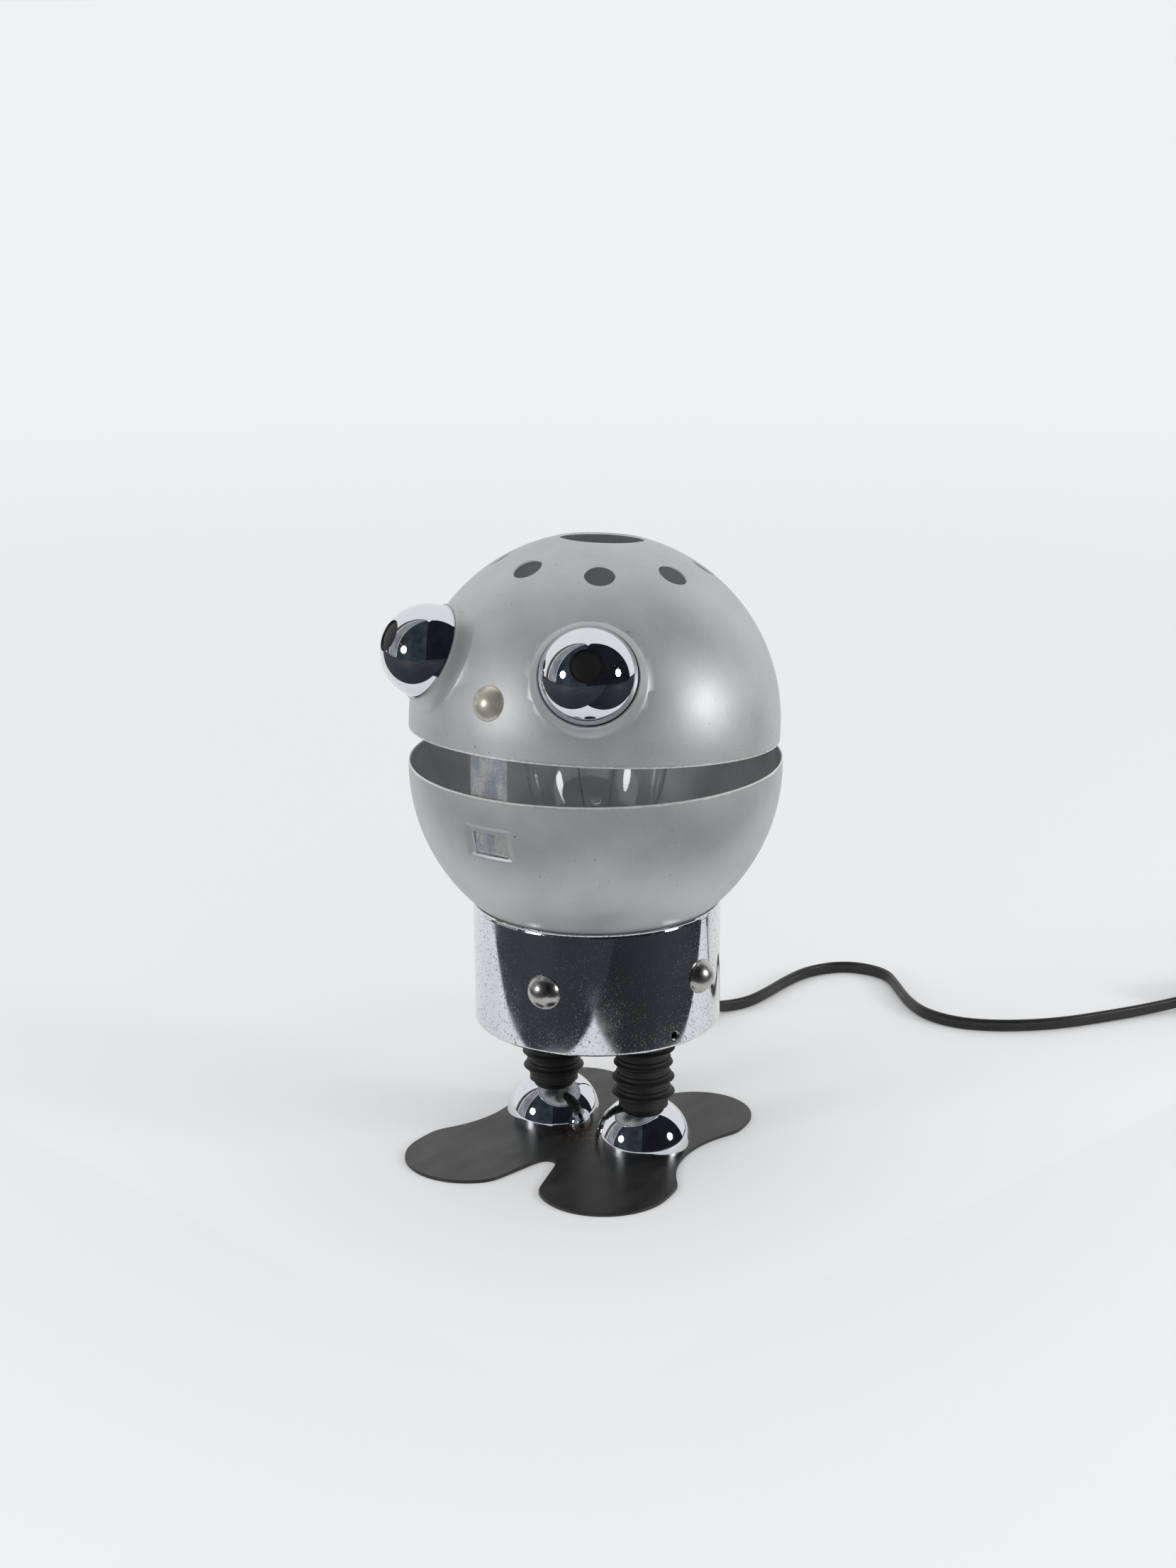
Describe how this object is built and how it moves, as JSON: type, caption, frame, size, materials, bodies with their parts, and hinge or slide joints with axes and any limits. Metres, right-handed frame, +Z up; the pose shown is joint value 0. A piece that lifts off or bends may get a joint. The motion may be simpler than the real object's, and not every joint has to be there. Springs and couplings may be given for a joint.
{
  "type": "robot shaped desk lamp",
  "caption": "Desk lamp shaped as a standing robot: round head of two metal shells around a bulb, hinged dome top with eyes, drum body, bellows legs and a flat foot plate.",
  "frame": {"origin": "on the resting surface, under the axis of the drum and the head", "axes": "+Z up; -Y is the lamp's front, where the nose and the mouth slot are; +X to the lamp's left-hand side"},
  "size_m": [0.3465, 0.4391, 0.2548],
  "materials": {
    "head_lacquer": "satin silver lacquer on steel sheet",
    "polished_chrome": "polished chrome plate, lightly pitted",
    "nickel_plate": "satin nickel plate",
    "nose_brass": "worn lacquered brass",
    "black_satin_steel": "black satin paint",
    "bellows_rubber": "black rubber",
    "zinc_steel": "zinc plated steel",
    "holder_bakelite": "black moulded phenolic",
    "holder_ceramic": null,
    "contact_brass": "plain brass",
    "bulb_glass": "clear soda glass",
    "bulb_cap_metal": "pressed aluminium",
    "bulb_cap_insulator": "black vitrite",
    "filament_wire": "tungsten wire",
    "cord_sheath": "flat twin cord, black vinyl",
    "switch_plastic": "black moulded plastic",
    "rocker_plastic": "black moulded plastic",
    "screw_steel": "steel"
  },
  "bodies": {
    "base": {"base_plate": "black_satin_steel", "body_drum": "polished_chrome", "body_studs": "nickel_plate", "bottom_cover": "zinc_steel", "bulb_cap": "bulb_cap_metal", "bulb_contact": "contact_brass", "bulb_filament": "filament_wire", "bulb_glass": "bulb_glass", "bulb_insulator": "bulb_cap_insulator", "bulb_stem": "bulb_glass", "bulb_supports": "zinc_steel", "centre_contact": "contact_brass", "cord_bushing": "bellows_rubber", "cord_coil": "cord_sheath", "cord_inside": "cord_sheath", "cord_run": "cord_sheath", "cord_tail": "cord_sheath", "cover_screws": "nickel_plate", "foot_dome_left": "polished_chrome", "foot_dome_right": "polished_chrome", "head_bowl": "head_lacquer", "hinge_leaf_bowl": "head_lacquer", "hinge_pin": "nickel_plate", "hinge_rivets_bowl": "nickel_plate", "leg_bellows_left": "bellows_rubber", "leg_bellows_right": "bellows_rubber", "leg_nuts": "zinc_steel", "leg_rod_left": "zinc_steel", "leg_rod_right": "zinc_steel", "nipple_nut": "zinc_steel", "plug_blades": "contact_brass", "plug_body": "switch_plastic", "screw_shell": "contact_brass", "shade_ring_lower": "holder_bakelite", "shade_ring_upper": "holder_bakelite", "socket_body": "holder_bakelite", "socket_bracket": "zinc_steel", "socket_cap": "holder_bakelite", "socket_core": "holder_ceramic", "socket_leads": "cord_sheath", "socket_nipple": "zinc_steel", "stud_clips": "zinc_steel", "switch_base": "switch_plastic", "switch_cover": "switch_plastic", "switch_screws": "screw_steel", "terminal_screws": "contact_brass"},
    "dome": {"dome_shell": "head_lacquer", "hinge_leaf_dome": "head_lacquer", "hinge_rivets_dome": "nickel_plate", "catch_strip": "nickel_plate", "nose_rivet": "nose_brass", "eye_left": "polished_chrome", "eye_right": "polished_chrome", "eye_pupils": "black_satin_steel"},
    "rocker": {"switch_rocker": "rocker_plastic"}
  },
  "joints": [
    {"name": "dome_hinge", "type": "hinge", "parent": "base", "child": "dome", "pos_m": [0, 0.0802, 0.1672], "axis": [-1, 0, 0], "range_deg": [0, 70]},
    {"name": "rocker_pivot", "type": "hinge", "parent": "base", "child": "rocker", "pos_m": [0.16658, 0.29402, 0.0074], "axis": [-0.8279, 0.5609, 0], "range_deg": [-26, 0]}
  ]
}
